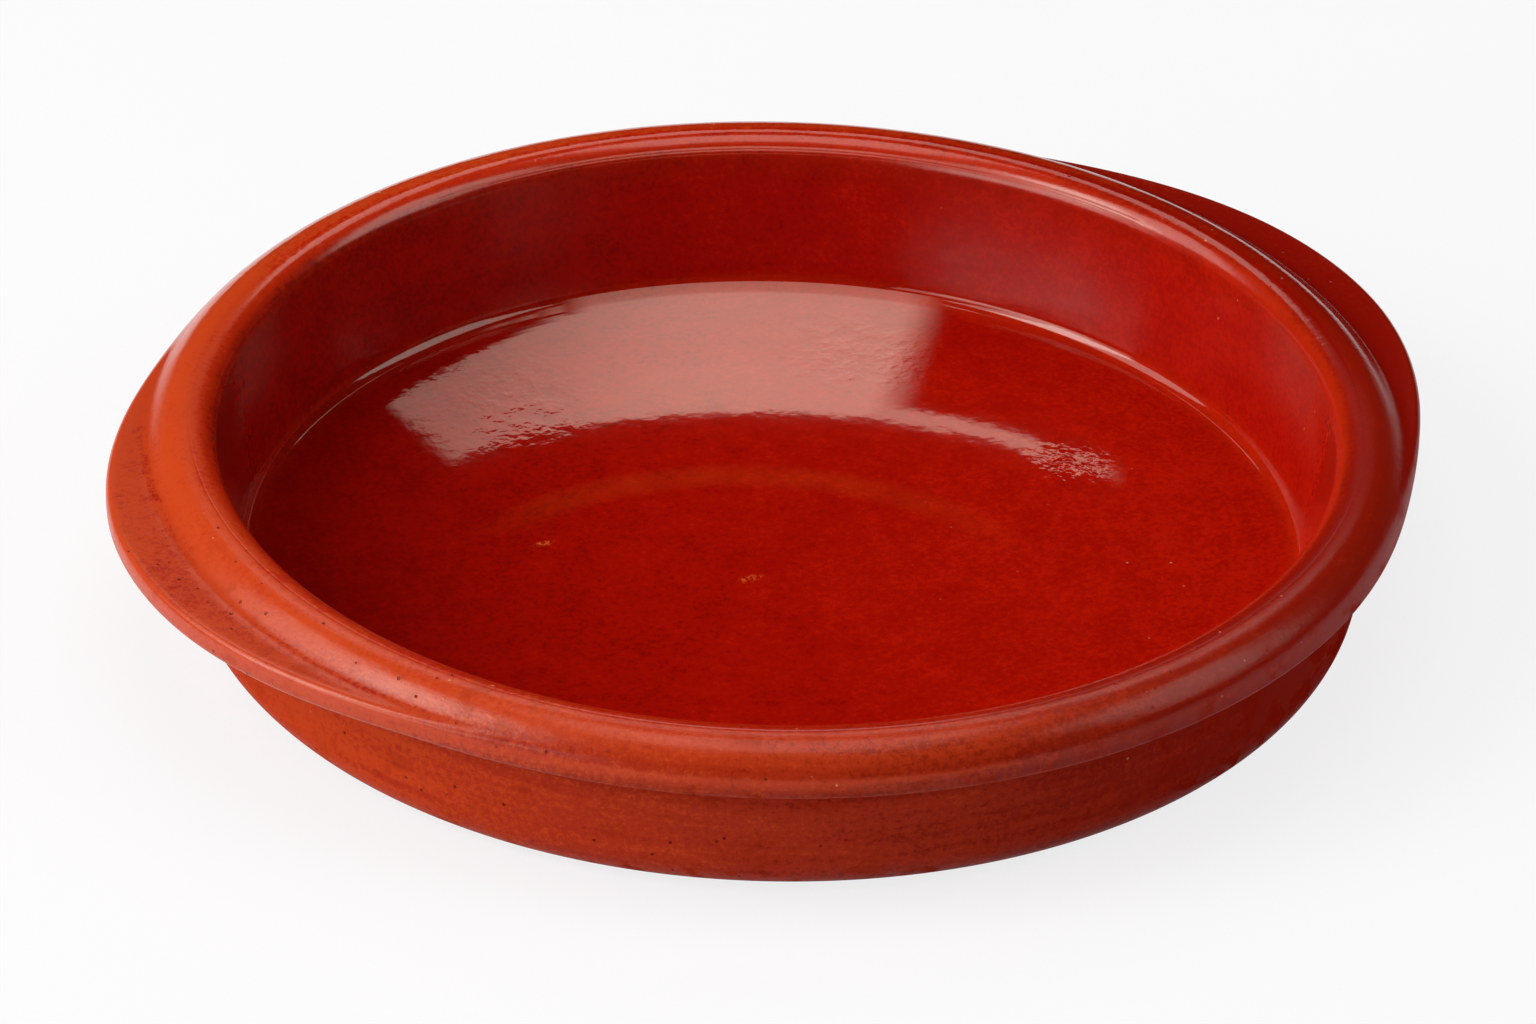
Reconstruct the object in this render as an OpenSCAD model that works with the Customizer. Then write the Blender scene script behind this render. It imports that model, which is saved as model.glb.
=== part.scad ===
// Round, shallow dish of glazed red clay with two ears on its rim, thrown and shaped as one piece.
// Origin: middle of the flat base. Z is up, and the ears lie near the X axis, both a little towards +Y.

/* [Dish] */
// Radius of the mouth, where the inner wall meets the lip
mouth_r = 100; // [90:1:130]
// Height from the base to the top of the rim
dish_h = 34; // [30:0.5:50]
// Thickness of the floor in its middle
floor_t = 4.75; // [3:0.25:7]
// How much higher the floor lies at the foot of the inner wall than in its middle
floor_rise = 0.5; // [0.25:0.25:2.5]
// Width of the zone in which the floor rises
floor_rise_w = 26; // [24:0.5:40]
// Radius of the curve that leads from the flat floor into its rise
floor_curve = 300; // [100:10:300]
// How far the inner wall leans in from the mouth down to the floor
wall_lean = 5; // [3:0.25:7]
// Radius of the hollow corner between the floor and the wall
crease_round = 4; // [2:0.5:6]

/* [Outer wall] */
// Thickness of the wall under the rim, measured from the mouth
wall_t = 6.3; // [5:0.1:7.5]
// How much smaller the foot's radius is than the wall's under the rim
foot_in = 2.3; // [1:0.1:4]
// Radius of the rounded foot
foot_round = 8; // [4:0.5:10]
// Radius of the hollow corner under the rim
neck_round = 1.2; // [0.5:0.1:2]

/* [Rim] */
// Width of the rim, from the mouth to its outer face
rim_w = 12.3; // [11.5:0.1:16]
// Height of the rim's outer face, from its lower edge to the top
rim_h = 9; // [8.75:0.25:12]
// Radius of the lip, the rim's inner edge
lip_round = 3.5; // [2:0.25:4]
// Radius of the rim's outer shoulder
shoulder_round = 7.6; // [5:0.1:8]
// Radius of the rim's lower edge
skirt_round = 0.9; // [0.3:0.1:1.2]
// Width of the fine line that parts the lip from the shoulder
line_w = 0.8; // [0.5:0.1:1]
// Depth of that line
line_d = 0.2; // [0.1:0.05:0.4]

/* [Ears] */
// How far each ear stands out past the rim
ear_reach = 9.4; // [5:0.1:11]
// How far round each ear lies from the X axis towards +Y, in degrees
ear_skew = 4.75; // [0:0.25:8]
// Radius of an ear's outer edge, seen from above
ear_r = 88; // [80:1:96]
// Height of the rim's top above the ear's ledge
ledge_drop = 4.2; // [4:0.1:5.8]
// Height of the ear's underside above the rim's lower edge
ear_lift = 0.3; // [0.1:0.1:0.9]
// Radius of the ear's rounded edge
ear_round = 1.4; // [1:0.1:1.5]

/* [Hidden] */
// Sides on a full turn
$fn = 240;
// Steps along each rounded corner
ARC_STEPS = 8;

neck_r = mouth_r + wall_t;
foot_r = neck_r - foot_in;
rim_r = mouth_r + rim_w;
rim_z = dish_h - rim_h;
crease_r = mouth_r - wall_lean;
crease_z = floor_t + floor_rise;
floor_bend_r = crease_r - floor_rise_w;
// The fine line lies midway between the end of the lip's curve and the start of the shoulder's
lip_turn = 90 - atan(wall_lean / (dish_h - crease_z));
lip_end_r = mouth_r + lip_round * tan(lip_turn / 2);
line_r = (lip_end_r + rim_r - shoulder_round) / 2;

ledge_z = dish_h - ledge_drop;
ear_z = rim_z + ear_lift;
// Distance from the dish's axis to the middle of an ear's disc
ear_offset = rim_r + ear_reach - ear_r;
// Radius inside which the rim's own section takes the place of the ears
ear_root_r = (neck_r + rim_r) / 2;

// Unit vector from a to b
function unit(a, b) = (b - a) / norm(b - a);

// Points of the corner at b, rounded with radius r between the edges from a and to c
function corner(a, b, c, r) =
    let (
        u = unit(b, a),
        v = unit(b, c),
        half = acos(u * v) / 2,
        centre = b + r / sin(half) * unit([0, 0], u + v),
        p = b + r / tan(half) * u - centre,
        start = atan2(p.y, p.x),
        side = sign(u.y * v.x - u.x * v.y),
        step = side * (180 - 2 * half) / ARC_STEPS
    )
    [for (i = [0:ARC_STEPS]) centre + r * [cos(start + i * step), sin(start + i * step)]];

// Closed outline through corners given as [x, y, radius]
function rounded(pts) =
    let (n = len(pts), xy = [for (p = pts) [p.x, p.y]])
    [for (i = [0:n - 1])
        each pts[i].z == 0 ? [xy[i]] : corner(xy[(i + n - 1) % n], xy[i], xy[(i + 1) % n], pts[i].z)];

// Half section of the round dish, from the middle of its base round to the middle of its floor
SECTION = [
    [0, 0, 0],
    [foot_r, 0, foot_round],
    [neck_r, rim_z, neck_round],
    [rim_r, rim_z, skirt_round],
    [rim_r, dish_h, shoulder_round],
    [line_r + line_w / 2, dish_h, 0],
    [line_r, dish_h - line_d, 0],
    [line_r - line_w / 2, dish_h, 0],
    [mouth_r, dish_h, lip_round],
    [crease_r, crease_z, crease_round],
    [floor_bend_r, floor_t, floor_curve],
    [0, floor_t, 0],
];

// Half section of the disc that an ear is part of
ear_section = rounded([
    [0, ear_z, 0],
    [ear_r, ear_z, ear_round],
    [ear_r, ledge_z, ear_round],
    [0, ledge_z, 0],
]);

// One ear: what is left of a disc outside the rim's own section
module ear() {
    difference() {
        translate([ear_offset, 0, 0])
            rotate([0, 0, 180])
                rotate_extrude()
                    polygon(ear_section);
        translate([0, 0, rim_z])
            cylinder(r = ear_root_r, h = rim_h);
    }
}

module cazuela() {
    color("firebrick") {
        rotate([0, 0, 90])
            rotate_extrude()
                polygon(rounded(SECTION));
        for (turn = [ear_skew, 180 - ear_skew])
            rotate([0, 0, turn])
                ear();
    }
}

cazuela();
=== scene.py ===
import math

import bpy
import numpy as np
from mathutils import Matrix, Vector


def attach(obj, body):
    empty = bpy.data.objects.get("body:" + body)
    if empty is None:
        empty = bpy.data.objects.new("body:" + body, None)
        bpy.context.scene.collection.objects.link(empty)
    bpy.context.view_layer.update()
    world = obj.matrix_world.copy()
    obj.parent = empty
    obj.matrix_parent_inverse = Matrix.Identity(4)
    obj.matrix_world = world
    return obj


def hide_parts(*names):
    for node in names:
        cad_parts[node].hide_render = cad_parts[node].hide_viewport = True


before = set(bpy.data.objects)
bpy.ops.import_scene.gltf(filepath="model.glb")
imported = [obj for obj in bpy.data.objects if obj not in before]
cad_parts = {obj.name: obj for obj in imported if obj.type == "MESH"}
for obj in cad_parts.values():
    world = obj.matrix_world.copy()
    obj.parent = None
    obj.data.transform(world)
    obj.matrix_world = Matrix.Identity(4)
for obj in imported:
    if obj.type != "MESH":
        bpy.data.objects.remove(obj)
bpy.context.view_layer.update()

# The dish: one piece of red clay, thrown on a wheel. Its steep wall ends in a thick rounded rim, and the
# clay of the rim is drawn out and pressed flat into a low ear on each side. It is glazed inside, over the
# rim and thinly down the wall, and fired, so thin glaze shows orange and pooled glaze shows dark red.
# Lengths are in millimetres. Where the section's corners are rounded, a name in _round is their radius.
MM = 0.001
TURNS = 320
height, mouth, rim, neck, foot = 34.0, 100.0, 112.18, 106.3, 104.0
rim_foot = height - 9.0
crease, crease_z, floor_z, floor_bend = 95.0, 5.25, 4.75, 69.0
lip_round, shoulder_round, skirt_round = 4.8, 7.6, 0.9
floor_round, crease_round, neck_round, foot_round = 300.0, 2.9, 1.2, 8.0
ledge, ear_under, ear_round = 29.8, 25.3, 1.4
ear_root, ear_grow, ear_width, ear_skew = 110.6, 11.0, math.radians(31), math.radians(4.75)
ear_blend = 3.4
RIM_POINTS, HALVINGS = 92, 28
line_deep, line_wide, front_way = 0.10, 0.26, math.radians(-119)
heart = (105.0, 27.0)


def ear_edge(turn):
    """How far from the dish's middle the edge of the nearer ear lies, at the angle turn round the dish."""
    away = np.abs(math.pi / 2 - np.abs(np.arctan2(np.sin(turn), np.abs(np.cos(turn))) - ear_skew) - math.pi / 2)
    return ear_root + ear_grow * np.exp(-((away / ear_width) ** 2.2))


def rounded_box(across, over, under, radius_over, radius_under):
    """Distance outside a section that ends where across, over and under are 0, its outer corners rounded."""
    distances = []
    for past, radius in ((over, radius_over), (under, radius_under)):
        corner = np.hypot(np.maximum(across + radius, 0), np.maximum(past + radius, 0)) - radius
        distances.append(corner + np.minimum(np.maximum(across, past) + radius, 0))
    return np.maximum(*distances)


def rim_skin(out, turn, z):
    """How far a point lies outside the round rim, and outside the ears, in millimetres."""
    round_rim = rounded_box(out - rim, z - height, rim_foot - z, shoulder_round, skirt_round)
    ears = rounded_box(out - ear_edge(turn), z - ledge, ear_under - z, ear_round, ear_round)
    return round_rim, ears


def soft_join(a, b, width):
    """The two skins joined with a hollow of that width between them, as wet clay is smoothed by a finger."""
    near = np.maximum(width - np.abs(a - b), 0) / width
    return np.minimum(a, b) - near**3 * width / 6


def reach(slope, turn, with_ears):
    """How far the rim reaches from its heart in the direction slope, at the angle turn round the dish."""
    low, high = np.full(np.shape(slope), 0.5), np.full(np.shape(slope), 26.0)
    for _ in range(HALVINGS):
        mid = (low + high) / 2
        round_rim, ears = rim_skin(heart[0] + mid * np.cos(slope), turn, heart[1] + mid * np.sin(slope))
        inside = (soft_join(round_rim, ears, ear_blend) if with_ears else round_rim) < 0
        low, high = np.where(inside, mid, low), np.where(inside, high, mid)
    return mid


def arc_corner(before, at, after, radius, steps):
    """Points of a corner rounded with that radius."""
    before, at, after = (np.array(p, float) for p in (before, at, after))
    u, v = (before - at) / np.linalg.norm(before - at), (after - at) / np.linalg.norm(after - at)
    half = math.acos(float(u @ v)) / 2
    centre = at + radius / math.sin(half) * (u + v) / np.linalg.norm(u + v)
    first = at + radius / math.tan(half) * u - centre
    start = math.atan2(first[1], first[0])
    sweep = math.copysign(math.pi - 2 * half, u[1] * v[0] - u[0] * v[1])
    angles = [start + sweep * i / steps for i in range(steps + 1)]
    return [tuple(centre + radius * np.array([math.cos(a), math.sin(a)])) for a in angles]


def spaced(points, longest):
    """The same line with its long stretches cut into shorter ones."""
    line = [points[0]]
    for p, q in zip(points, points[1:]):
        cuts = max(1, math.ceil(math.dist(p, q) / longest))
        line += [tuple(np.array(p) + (np.array(q) - np.array(p)) * i / cuts) for i in range(1, cuts + 1)]
    return line


# The section runs from the middle of the floor up the inner wall to the lip, and then round the rim.
inner = [(0.0, floor_z)]
inner += arc_corner((0, floor_z), (floor_bend, floor_z), (crease, crease_z), floor_round, 8)
inner += arc_corner((floor_bend, floor_z), (crease, crease_z), (mouth, height), crease_round, 14)
inner += arc_corner((crease, crease_z), (mouth, height), (rim, height), lip_round, 14)
inner = spaced(inner, 4.0)
line_at = (inner[-1][0] + rim - shoulder_round) / 2
inner = [(out, z) for out, z in inner if out < line_at - line_wide - 0.005]

# A fine line parts the lip from the shoulder.
for step in range(-5, 6):
    inner.append((line_at + line_wide * step / 5, height - line_deep * math.cos(math.pi * step / 10) ** 2))

# Round the rim the points lie closer where it bends more, on the plain rim and on the ears.
slopes = np.linspace(math.pi / 2, math.atan2(rim_foot - heart[1], neck + 1.3 - heart[0]), 3000)
shapes = [reach(slopes, ear_skew, ears) for ears in (False, True)]
edges = [np.stack([s * np.cos(slopes), s * np.sin(slopes)], 1) for s in shapes]
along = sum(np.concatenate([[0], np.cumsum(np.linalg.norm(np.diff(e, axis=0), axis=1))]) for e in edges)
slopes = np.interp(np.linspace(0, along[-1], RIM_POINTS), along, slopes)
plain = reach(slopes, math.pi / 2, False)
rim_edge = [(heart[0] + d * math.cos(s), heart[1] + d * math.sin(s)) for d, s in zip(plain, slopes)]
outer = arc_corner((rim, rim_foot), (neck, rim_foot), (foot, 0), neck_round, 6)
outer += arc_corner((neck, rim_foot), (foot, 0), (0, 0), foot_round, 16)
outer = spaced(outer + [(0.0, 0.0)], 5.0)
section = inner + rim_edge + outer

bpy.ops.object.select_all(action="DESELECT")
bpy.ops.mesh.primitive_circle_add(vertices=len(section), radius=1.0)
dish = bpy.context.object
dish.name = "glazed_dish"
for point, (out, z) in zip(dish.data.vertices, section):
    point.co = (out * MM, 0, z * MM)
bpy.ops.object.mode_set(mode="EDIT")
bpy.ops.mesh.select_mode(type="EDGE")
bpy.ops.mesh.select_all(action="DESELECT")
bpy.ops.object.mode_set(mode="OBJECT")
for edge in dish.data.edges:
    edge.select = set(edge.vertices) == {0, len(section) - 1}
bpy.ops.object.mode_set(mode="EDIT")
bpy.ops.mesh.delete(type="EDGE")
bpy.ops.mesh.select_all(action="SELECT")
bpy.ops.mesh.spin(steps=TURNS, angle=2 * math.pi, center=(0, 0, 0), axis=(0, 0, 1))
bpy.ops.mesh.select_all(action="SELECT")
bpy.ops.mesh.remove_doubles(threshold=1e-6)
bpy.ops.mesh.normals_make_consistent(inside=False)
bpy.ops.object.mode_set(mode="OBJECT")

# Each point keeps its place along the section, which tells the glaze where it is: on the floor, the wall,
# the lip, the shoulder or the foot. The rim's points are then drawn out to the ears.
co = np.zeros(len(dish.data.vertices) * 3)
dish.data.vertices.foreach_get("co", co)
co = co.reshape(-1, 3) / MM
out, turn = np.hypot(co[:, 0], co[:, 1]), np.arctan2(co[:, 1], co[:, 0])
run = np.concatenate([[0], np.cumsum([math.dist(p, q) for p, q in zip(section, section[1:])])])
flat = np.array(section)
place_on_section = np.zeros(len(out))
for start in range(0, len(out), 4096):
    part = slice(start, start + 4096)
    gap = np.hypot(out[part, None] - flat[None, :, 0], co[part, 2, None] - flat[None, :, 1])
    place_on_section[part] = run[gap.argmin(1)]

# The fine line is deep at the front and fades towards the back.
on_line = (np.abs(out - line_at) < line_wide + 0.001) & (co[:, 2] > height - 2 * line_deep)
line_here = 0.12 + 0.88 * np.clip(np.cos(turn - front_way) * 2.0 - 0.3, 0, 1)
co[on_line, 2] = height - (height - co[on_line, 2]) * line_here[on_line]

slope = np.arctan2(co[:, 2] - heart[1], out - heart[0])
on_rim = (out > heart[0] - 0.01) & (co[:, 2] > rim_foot - 0.01) & (slope > slopes[-1] - 1e-4)
new = reach(slope[on_rim], turn[on_rim], True)
out[on_rim] = heart[0] + new * np.cos(slope[on_rim])
co[on_rim, 2] = heart[1] + new * np.sin(slope[on_rim])
co[:, 0], co[:, 1] = out * np.cos(turn), out * np.sin(turn)
round_rim, ears = rim_skin(out, turn, co[:, 2])
hollow = np.where(on_rim, np.maximum(1 - np.abs(round_rim - ears) / 6.0, 0) ** 2, 0)
on_ledge = np.where(on_rim, np.clip(0.5 + (round_rim - ears) / 2.0, 0, 1), 0)
edge_of_ear = np.where(on_rim, np.clip(1 - (ear_edge(turn) - out) / 4.0, 0, 1) * on_ledge, 0)
dish.data.vertices.foreach_set("co", (co * MM).ravel())
for name, values in (
    ("section_mm", place_on_section),
    ("hollow", hollow),
    ("on_ledge", on_ledge),
    ("ear_rim", edge_of_ear),
):
    dish.data.attributes.new(name, "FLOAT", "POINT").data.foreach_set("value", values)
dish.data.update()
bpy.ops.object.shade_smooth()


class Wire:
    """A socket in the tree of a finish. Sums on it are written as Python, and add Math nodes."""

    tree = None

    def __init__(self, socket):
        self.socket = socket

    @classmethod
    def node(cls, kind, settings, values, give=0):
        """Any node: its type, its settings, what goes into its sockets, and which socket it gives."""
        made = cls.tree.nodes.new(kind)
        for name, value in settings.items():
            if name == "stops":
                ramp = made.color_ramp
                for i, (at, colour) in enumerate(value):
                    stop = ramp.elements[i] if i < 2 else ramp.elements.new(at)
                    stop.position = at
                    stop.color = (*colour, 1) if isinstance(colour, tuple) else (colour, colour, colour, 1)
            else:
                setattr(made, name, value)
        for name, value in values.items():
            if isinstance(value, Wire):
                cls.tree.links.new(value.socket, made.inputs[name])
            else:
                made.inputs[name].default_value = value
        return cls(made.outputs[give])

    def sum(self, kind, *others):
        values = dict(enumerate((self, *others)))
        return Wire.node("ShaderNodeMath", {"operation": kind}, values)

    def __add__(self, other):
        return self.sum("ADD", other)

    def __mul__(self, other):
        return self.sum("MULTIPLY", other)

    def __sub__(self, other):
        return self.sum("SUBTRACT", other)

    def __rsub__(self, other):
        return Wire.node("ShaderNodeMath", {"operation": "SUBTRACT"}, {0: other, 1: self})

    def __truediv__(self, other):
        return self.sum("DIVIDE", other)

    def __pow__(self, other):
        return self.sum("POWER", other)

    __radd__ = __add__
    __rmul__ = __mul__

    def clip(self):
        return Wire.node("ShaderNodeClamp", {}, {"Value": self})

    def above(self, low, high):
        """0 below low, 1 above high, and a soft step between them."""
        values = {"Value": self, "From Min": low, "From Max": high}
        return Wire.node("ShaderNodeMapRange", {"interpolation_type": "SMOOTHSTEP"}, values)


def mixed(amount, a, b):
    """Colour a turned into colour b by that amount."""
    a, b = ((*c, 1) if isinstance(c, tuple) else c for c in (a, b))
    return Wire.node("ShaderNodeMix", {"data_type": "RGBA"}, {0: amount, 6: a, 7: b}, give=2)


def read(name):
    """A value that the dish's points carry."""
    return Wire.node("ShaderNodeAttribute", {"attribute_name": name}, {}, give=2)


def cloud(vector, scale, detail=2.0, rough=0.5):
    """Soft noise from 0 to 1, with scale in lumps for each millimetre."""
    values = {"Vector": vector, "Scale": scale, "Detail": detail, "Roughness": rough}
    return Wire.node("ShaderNodeTexNoise", {}, values)


glaze = bpy.data.materials.new("red_glaze_over_clay")
glaze.use_nodes = True
Wire.tree = glaze.node_tree
here = Wire.node("ShaderNodeTexCoord", {}, {}, give=3)
here = Wire.node("ShaderNodeVectorMath", {"operation": "SCALE"}, {0: here, "Scale": 1 / MM})
split = Wire.tree.nodes.new("ShaderNodeSeparateXYZ")
Wire.tree.links.new(here.socket, split.inputs[0])
x, y, z = (Wire(s) for s in split.outputs)
from_middle = (x * x + y * y) ** 0.5
spot = read("section_mm")
ring = Wire.node("ShaderNodeCombineXYZ", {}, {0: x / from_middle * 7.0, 1: y / from_middle * 7.0, 2: spot})

# Painted light and shade by side. The key lamp stands at the left: inside, the glaze is painted lighter on the
# right, where the floor is lit; outside, it is painted lighter on the left, towards the lamp, and darker on the
# right, in shade.
side_away_from_key = front_way + math.pi / 2
away_from_key = (x * math.cos(side_away_from_key) + y * math.sin(side_away_from_key)) / rim
toward_front = (x * math.cos(front_way) + y * math.sin(front_way)) / rim

# Where each part of the section ends, as a share of its whole length.
total = run[-1]


def share(out, z):
    """The share of the section's length at which it passes nearest to a point."""
    return float(run[np.hypot(flat[:, 0] - out, flat[:, 1] - z).argmin()] / total)


crease_at, wall_top, lip_at = share(crease, crease_z), share(mouth - 0.3, height - 4), share(mouth + 1.2, height - 1)
line_share, crest_at = share(line_at, height - 0.1), share(rim - shoulder_round, height)
shoulder_at, side_at = share(rim - 2.2, height - 2.2), share(rim, height - shoulder_round)
skirt_at, neck_at = share(rim - 0.3, rim_foot), share(neck, rim_foot - 1)
foot_at, base_at = share(foot - 2, 3), share(foot - 10, 0)

deep_red, wall_red, lip_red = (0.37, 0.0045, 0.0008), (0.37, 0.0030, 0.0008), (0.44, 0.012, 0.002)
thin_orange, rim_side = (0.58, 0.060, 0.012), (0.27, 0.014, 0.003)
wall_clay, raw_clay = (0.43, 0.034, 0.013), (0.42, 0.10, 0.045)
part_colours = [
    (0.0, deep_red),
    (crease_at - 0.014, deep_red),
    (crease_at + 0.001, (0.40, 0.014, 0.002)),
    (crease_at + 0.012, wall_red),
    (wall_top - 0.02, wall_red),
    (wall_top, (0.34, 0.007, 0.001)),
    (lip_at, (0.54, 0.026, 0.003)),
    (line_share, lip_red),
    (crest_at, (0.52, 0.034, 0.006)),
    (shoulder_at, thin_orange),
    (side_at - 0.006, (0.52, 0.044, 0.009)),
    (side_at + 0.004, rim_side),
    (skirt_at, (0.36, 0.036, 0.014)),
    (neck_at, (0.26, 0.014, 0.005)),
    (neck_at + 0.02, wall_clay),
    (foot_at, wall_clay),
    (base_at, raw_clay),
]
body = Wire.node("ShaderNodeValToRGB", {"stops": part_colours}, {"Fac": spot / total})

# On the ears the glaze runs off the edges, which turn orange, and the hollow at the foot of the rim is darker.
ledge_colour = mixed(read("ear_rim").above(0.2, 1.0), (0.38, 0.020, 0.008), (0.46, 0.046, 0.018))
top_of_ear = read("on_ledge") * z.above(ledge - 2.2, ledge - 0.8)
body = mixed(top_of_ear, body, ledge_colour)
body = mixed(read("hollow") * z.above(ledge - 1.5, ledge - 0.5) * 0.75, body, (0.30, 0.008, 0.003))

# Uneven thickness: broad clouds, rings from throwing, and mottles down to the size of a grain, with painted light
# and shade by side added in.
broad = cloud(here, 0.040, 3.0, 0.6)
patches = cloud(here, 0.16, 3.0, 0.6)
rings = cloud(ring, 0.5, 3.0, 0.6)
grain = cloud(here, 0.95, 3.0, 0.8)
outside = spot.above(total * (lip_at - 0.01), total * (lip_at + 0.01))
inside = 1 - outside
unevenness_and_side_light = (broad - 0.5) * 0.35 + (patches - 0.5) * (0.45 - 0.1 * outside)
unevenness_and_side_light = unevenness_and_side_light + (rings - 0.5) * (0.25 + 0.55 * outside)
# This last term is painted light and shade: inside, lighter on the right and darker on the left; outside, lighter on
# the left and darker on the right.
unevenness_and_side_light = unevenness_and_side_light + (grain - 0.5) * 1.4 + away_from_key * (0.30 * inside - 0.46 * outside)
thin_glaze_and_light, thick_glaze_and_shade = unevenness_and_side_light.above(0.0, 0.42), (0 - unevenness_and_side_light).above(0.0, 0.42)
thin_and_lit_colour = mixed(outside, (0.66, 0.017, 0.002), (0.62, 0.075, 0.016))
body = mixed(thin_glaze_and_light * (0.42 + 0.18 * outside), body, thin_and_lit_colour)
body = mixed(thick_glaze_and_shade * (0.55 - 0.05 * outside), body, (0.13, 0.0010, 0.0005))
# Painted shade: outside, the right side, away from the key lamp, is painted darker still.
body = mixed(away_from_key.above(0.1, 0.9) * outside * 0.7, body, (0.27, 0.004, 0.001))
# Painted shadow: the left part of the floor, in the shade of the left wall, is painted darker.
painted_wall_shadow = (0 - away_from_key).above(0.1, 0.8) * (1 - z.above(crease_z + 0.5, crease_z + 3.0)) * inside
body = mixed(painted_wall_shadow * 0.55, body, (0.15, 0.0012, 0.0005))

# A painted caustic: a faint orange arc on the floor stands in for light that the wall's glaze throws onto it.
caustic_x, caustic_y, caustic_r = 19.0, -26.0, 59.5
off_caustic = (((x + caustic_x) * (x + caustic_x) + (y - caustic_y) * (y - caustic_y)) ** 0.5 - caustic_r) / 4.5
painted_caustic = (1 - (off_caustic * off_caustic)).clip() * z.above(crease_z - 4.0, crease_z - 3.0) * (patches * 1.2)
painted_caustic = painted_caustic * inside * (1 - z.above(crease_z, crease_z + 1.0)) * (0 - toward_front).above(0.0, 0.2)
body = mixed(painted_caustic * 0.20, body, (0.60, 0.075, 0.010))
for mark_x, mark_y, mark_r in ((-7.5, -5.0, 3.2), (-35.0, 22.0, 2.6)):
    mark_far = (((x - mark_x) * (x - mark_x) + (y - mark_y) * (y - mark_y) * 5.0) ** 0.5).above(mark_r * 0.3, mark_r)
    body = mixed((1 - mark_far) * inside * grain.above(0.48, 0.62) * 0.8, body, (0.72, 0.14, 0.02))

# Pinholes and bubbles: small pits where the clay gave off gas in the kiln. Pale specks: pale grains outside, and on
# the inside's right side painted glints.
cell = {"feature": "F1", "distance": "EUCLIDEAN"}
hole_far = Wire.node("ShaderNodeTexVoronoi", cell, {"Vector": here, "Scale": 0.26, "Randomness": 1.0})
gassed = (toward_front * 0.9 - away_from_key * 0.45).above(0.55, 0.95)
hole_where = (cloud(here, 0.035, 1.0).above(0.50, 0.66) * 0.5 + gassed).clip() * outside
pit = (1 - hole_far.above(0.04, 0.10)) * hole_where
pale_grain_and_glint_far = Wire.node("ShaderNodeTexVoronoi", cell, {"Vector": here, "Scale": 0.24, "Randomness": 1.0})
pale_grain_and_glint = (1 - pale_grain_and_glint_far.above(0.035, 0.08)) * cloud(here, 0.05, 1.0).above(0.52, 0.62)
# Inside, the pale specks are painted glints, on the right side only.
pale_grain_and_glint = pale_grain_and_glint * (outside + away_from_key.above(0.1, 0.6)).clip()
body = mixed(pit * 0.65, body, (0.09, 0.006, 0.002))
body = mixed(gassed * patches.above(0.54, 0.66) * outside * 0.22, body, (0.14, 0.006, 0.003))
body = mixed(pale_grain_and_glint * 0.7, body, (0.75, 0.30, 0.16))

# The inside is glassy. Over the rim the glaze is thinner and duller, and on the wall outside almost dry.
gloss_stops = [(0.0, 1.0), (line_share, 1.0), (crest_at, 0.66), (side_at, 0.20), (skirt_at, 0.18), (neck_at, 0.10)]
gloss_stops += [(neck_at + 0.012, 0.02), (foot_at - 0.02, 0.02), (foot_at, 0.18), (base_at, 0.0)]
gloss = Wire.node("ShaderNodeValToRGB", {"stops": gloss_stops}, {"Fac": spot / total})
cool_gloss = (0 - toward_front).above(0.0, 0.5) * (1 - spot.above(total * side_at, total * skirt_at)) * outside
rim_part = spot.above(total * crest_at, total * shoulder_at) * (1 - spot.above(total * skirt_at, total * neck_at))
gloss = gloss + (1 - gloss) * (cool_gloss * 0.9 + (0 - away_from_key).above(0.1, 0.9) * rim_part * 0.55).clip()
gloss = (gloss - patches.above(0.5, 0.7) * 0.15 * outside).clip()

# The skin of the glaze: orange peel, gentle waves, and ripples where it boiled on the floor near the wall.
boiled = 0.0
for boil_x, boil_y, size in ((-20.0, 72.0, 24.0), (47.0, 56.0, 19.0), (63.0, 4.0, 11.0)):
    away_from_boil = ((x - boil_x) * (x - boil_x) + (y - boil_y) * (y - boil_y)) ** 0.5
    boiled = 1 - away_from_boil.above(size * 0.1, size) + boiled
peel = cloud(here, 0.40, 2.0)
waves = cloud(here, 0.09, 1.0)
skin = peel * (0.018 + 0.20 * (boiled * inside * patches.above(0.30, 0.62)).clip() + 0.025 * outside) + waves * 0.05
skin = skin + rings * (0.05 * outside + 0.005 * inside * z.above(crease_z + 1.0, crease_z + 6.0))
skin = skin + (grain - 0.5) * 0.05 * outside * (1 - 0.75 * cool_gloss) - pit * 0.3
bump = Wire.node("ShaderNodeBump", {}, {"Strength": 1.0, "Distance": MM, "Height": skin})

# Two finishes in one skin: dry clay that only scatters light, and clear glaze over the same colour.
dry = {"Base Color": body, "Normal": bump, "Roughness": 0.6, "Specular IOR Level": 0.0}
wall_part = inside * z.above(crease_z + 2.0, crease_z + 5.0)
roughness = 0.065 + 0.15 * outside * (1 - cool_gloss) + 0.11 * wall_part
wet = {"Base Color": body, "Normal": bump, "Roughness": roughness, "IOR": 1.6}
dry_finish, wet_finish = (Wire.node("ShaderNodeBsdfPrincipled", {}, sockets) for sockets in (dry, wet))
whole = Wire.node("ShaderNodeMixShader", {}, {0: gloss, 1: dry_finish, 2: wet_finish})
Wire.tree.links.new(whole.socket, Wire.tree.nodes["Material Output"].inputs["Surface"])
Wire.tree.nodes.remove(Wire.tree.nodes["Principled BSDF"])
dish.data.materials.append(glaze)
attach(dish, "root")
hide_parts("cazuela")

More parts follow.
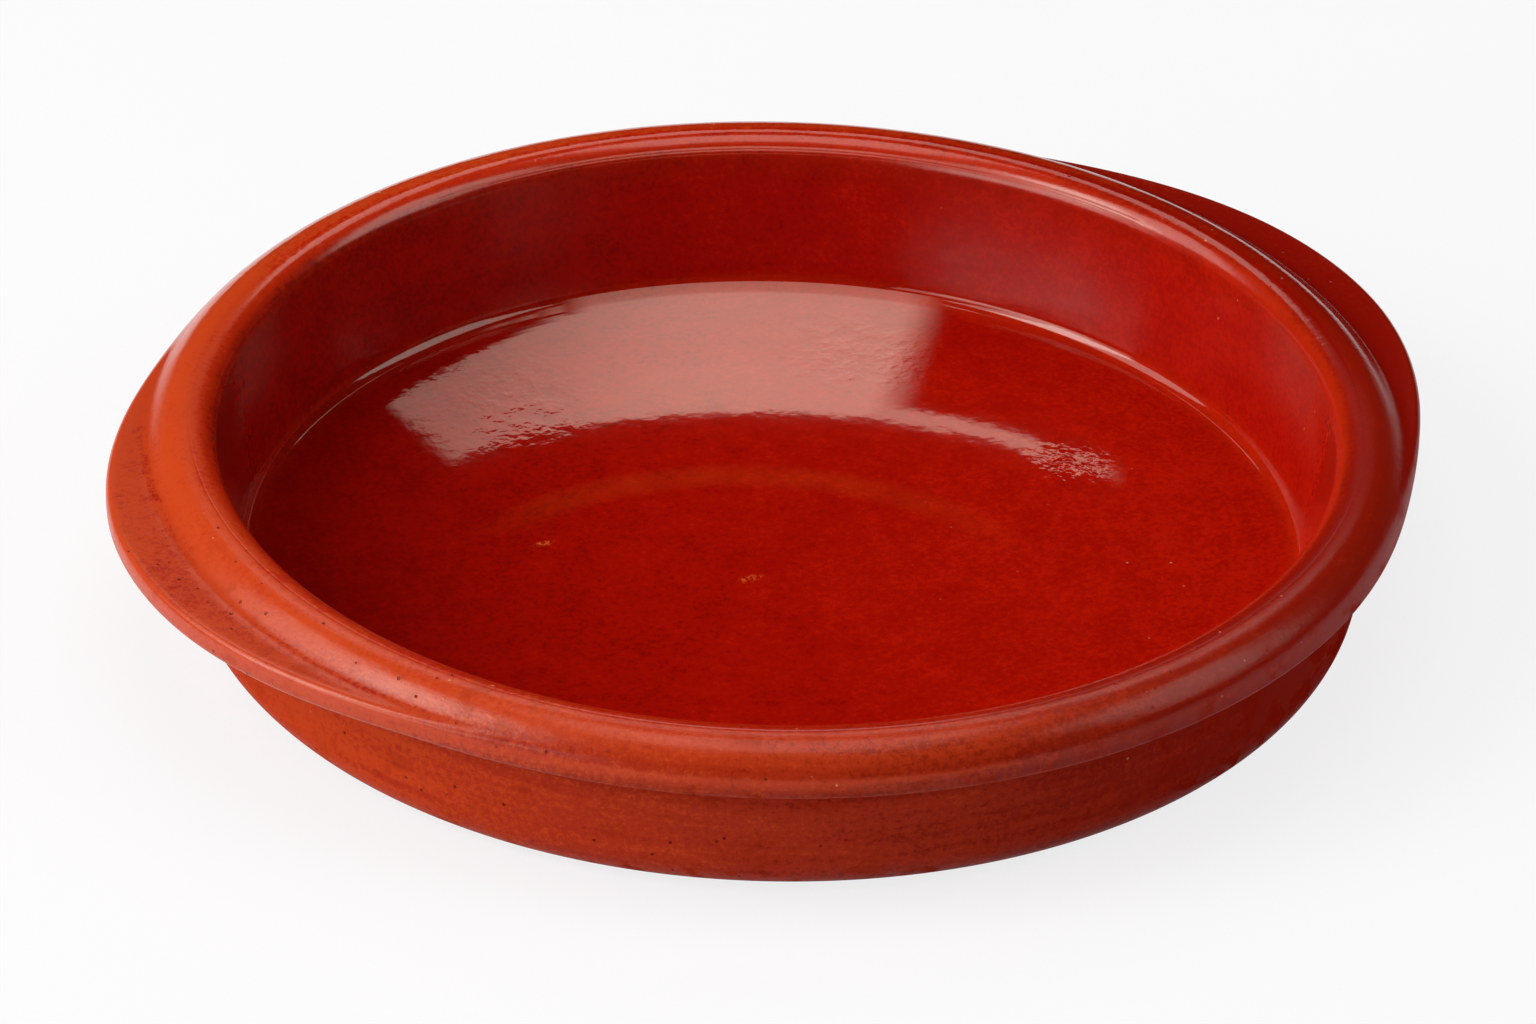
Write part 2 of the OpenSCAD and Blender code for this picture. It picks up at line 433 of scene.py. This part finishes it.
# The ground: a plain white table top that takes the dish's soft shadow.
bpy.ops.mesh.primitive_plane_add(size=12)
ground = bpy.context.object
ground.name = "table_top"
paint = bpy.data.materials.new("white_table")
paint.use_nodes = True
shader = paint.node_tree.nodes["Principled BSDF"]
shader.inputs["Base Color"].default_value = (0.82, 0.87, 0.94, 1)
shader.inputs["Roughness"].default_value = 1.0
shader.inputs["Specular IOR Level"].default_value = 0.0
Wire.tree = paint.node_tree
rays = Wire.tree.nodes.new("ShaderNodeLightPath").outputs
seen = (Wire(rays["Is Camera Ray"]) + Wire(rays["Is Glossy Ray"]) + Wire(rays["Is Transmission Ray"])).clip()
white = Wire.node("ShaderNodeEmission", {}, {"Color": (0.99, 0.99, 1, 1), "Strength": 1.03})
cover = Wire.node("ShaderNodeMixShader", {}, {0: seen * 0.78, 1: Wire(shader.outputs[0]), 2: white})
Wire.tree.links.new(cover.socket, Wire.tree.nodes["Material Output"].inputs["Surface"])
ground.data.materials.append(paint)

# The studio: soft lamps above, behind and at the sides, round the photograph's camera.
turn_to_photo = math.radians(-29)
across = Vector((math.cos(turn_to_photo), math.sin(turn_to_photo), 0))
away = Vector((-math.sin(turn_to_photo), math.cos(turn_to_photo), 0))
up = Vector((0, 0, 1))
warm = (1, 0.90, 0.80)


def softbox(name, to_right, to_back, height_angle, distance, width, depth, radiance):
    """A flat lamp that faces the dish, at a compass direction given by to_right and to_back."""
    flat_way = (across * to_right + away * to_back).normalized()
    tilt = math.radians(height_angle)
    place = (flat_way * math.cos(tilt) + up * math.sin(tilt)) * distance
    lamp = bpy.data.lights.new(name, "AREA")
    lamp.shape, lamp.size, lamp.size_y = "RECTANGLE", width, depth
    lamp.energy = radiance * math.pi * width * depth
    lamp.color = warm
    holder = bpy.data.objects.new(name, lamp)
    bpy.context.collection.objects.link(holder)
    z_axis = place.normalized()
    x_axis = up.cross(z_axis).normalized() if height_angle < 89 else across
    y_axis = z_axis.cross(x_axis)
    facing = Matrix((x_axis, y_axis, z_axis)).transposed().to_4x4()
    holder.matrix_world = Matrix.Translation(place) @ facing


softbox("overhead", 0, 1, 90, 1.5, 0.9, 0.9, 2.0)
softbox("back", 0, 1, 49, 1.6, 1.2, 0.45, 1.6)
softbox("left", -0.985, -0.17, 40, 1.5, 1.4, 0.9, 2.3)
softbox("left_core", -0.96, -0.28, 39, 1.4, 0.5, 0.75, 4.6)
softbox("left_low", -0.80, -0.60, 17, 1.5, 1.5, 0.65, 1.4)
softbox("left_low_core", -0.78, -0.62, 16, 1.4, 0.9, 0.35, 1.8)
softbox("right", 0.99, -0.05, 38, 1.5, 0.9, 0.9, 2.1)

# A curved reflector of thin slats stands just inside the back wall, each slat facing down to the floor. Only the
# glaze mirrors it: the broad sheen on the floor is its image. It gives the dish and the table no light.
# Where it doesn't glow it is dark, so that the floor mirrors no lamp there.
strip_steps, slats, slat_depth = 186, 30, 1.35
strip_turns = np.radians(np.linspace(5, 175, strip_steps))
strip_heights = np.linspace(crease_z + 1.2, height - 0.9, slats)
turns_grid, heights_grid, edge_grid = np.meshgrid(strip_turns, strip_heights, (0.0, 1.0), indexing="ij")
rise_share = (heights_grid - crease_z) / (height - crease_z)
off_wall, slat_tilt = 0.35, math.radians(15)
strip_out = crease + rise_share * (mouth - crease) - off_wall - edge_grid * slat_depth * math.cos(slat_tilt)
slat_z = heights_grid + edge_grid * slat_depth * math.sin(slat_tilt)
photo_turn = turns_grid + turn_to_photo
points = np.stack([strip_out * np.cos(photo_turn), strip_out * np.sin(photo_turn), slat_z], -1) * MM


def slat_point(step, slat, edge):
    """The number of a slat's point, at one step round the strip and on one of its two long edges."""
    return (step * slats + slat) * 2 + edge


corners = [
    (slat_point(i, j, 0), slat_point(i, j, 1), slat_point(i + 1, j, 1), slat_point(i + 1, j, 0))
    for i in range(strip_steps - 1)
    for j in range(slats)
]
strip_mesh = bpy.data.meshes.new("reflector_strip")
strip_mesh.from_pydata(points.reshape(-1, 3).tolist(), [], corners)
degrees = np.degrees(turns_grid)


def soft_step(value, low, high):
    """0 below low, 1 above high, and a soft step between them."""
    t = np.clip((value - low) / (high - low), 0, 1)
    return t * t * (3 - 2 * t)


# The glow ends at a slant on the left, and on the right it narrows to one band near the top.
left_end = soft_step(144 - 16 * rise_share - degrees, 0, 1.5)
left_end *= soft_step(rise_share - 0.010 * (degrees - 112), 0, 0.05)
right_end = soft_step(degrees - (70 + 5 * rise_share), 0, 6)
top_band = soft_step(degrees, 49, 53) * soft_step(rise_share, 0.84, 0.88) * 0.8
glow = left_end * np.maximum(right_end, top_band) * (0.45 + 0.55 * soft_step(-degrees, -135, -95))
strip_mesh.attributes.new("glow", "FLOAT", "POINT").data.foreach_set("value", glow.ravel())
strip = bpy.data.objects.new("reflector_strip", strip_mesh)
bpy.context.collection.objects.link(strip)
gleam = bpy.data.materials.new("reflector_glow")
gleam.use_nodes = True
gleam.node_tree.nodes.clear()
Wire.tree = gleam.node_tree
light = Wire.node("ShaderNodeEmission", {}, {"Color": (1, 0.78, 0.63, 1), "Strength": read("glow") * 2.6})
clear = Wire.node("ShaderNodeBsdfTransparent", {}, {})

# It is clear from behind, to a second reflection, from afar, and where a dark part would hide a lamp from
# the corner at the foot of the wall.
behind = Wire.node("ShaderNodeNewGeometry", {}, {}, give=6)
strip_rays = Wire.tree.nodes.new("ShaderNodeLightPath").outputs
second = Wire(strip_rays["Ray Depth"]).above(1.4, 1.6)
length = Wire(strip_rays["Ray Length"])
far = length.above(0.062, 0.070)
unlit = (1 - read("glow") * 5.0).clip() * (1 - length.above(0.003, 0.005))
pane = Wire.node("ShaderNodeMixShader", {}, {0: (behind + second + far + unlit).clip(), 1: light, 2: clear})
surface = Wire.tree.nodes.new("ShaderNodeOutputMaterial")
Wire.tree.links.new(pane.socket, surface.inputs["Surface"])
strip.data.materials.append(gleam)
for kind in ("camera", "diffuse", "transmission", "volume_scatter", "shadow"):
    setattr(strip, "visible_" + kind, False)

world = bpy.data.worlds.new("studio")
bpy.context.scene.world = world
world.use_nodes = True
world.node_tree.nodes["Background"].inputs["Color"].default_value = (1, 1, 1, 1)
world.node_tree.nodes["Background"].inputs["Strength"].default_value = 0.10
world.cycles_visibility.glossy = False

# The camera stands where the photograph was taken from, well back, with a long lens.
stand, rise, pixels_wide, focal_pixels = 2.0, math.radians(31.65), 1536, 11164
stand_at = -away * stand * math.cos(rise) + up * stand * math.sin(rise)
pitch, yaw, roll = math.radians(31.31), math.radians(-0.04), 0.0237
look = (across * math.sin(yaw) + away * math.cos(yaw)) * math.cos(pitch) - up * math.sin(pitch)
side = look.cross(up).normalized()
top = side.cross(look)
level = side * math.cos(roll) + top * math.sin(roll)
upright = top * math.cos(roll) - side * math.sin(roll)
lens = bpy.data.cameras.new("photo_camera")
lens.sensor_width = 36
lens.lens = focal_pixels / pixels_wide * lens.sensor_width
lens.clip_start, lens.clip_end = 0.1, 50
camera = bpy.data.objects.new("photo_camera", lens)
camera.matrix_world = Matrix.Translation(stand_at) @ Matrix((level, upright, -look)).transposed().to_4x4()
bpy.context.collection.objects.link(camera)
bpy.context.scene.camera = camera

bpy.context.scene.view_settings.view_transform = "Standard"
bpy.context.view_layer.update()
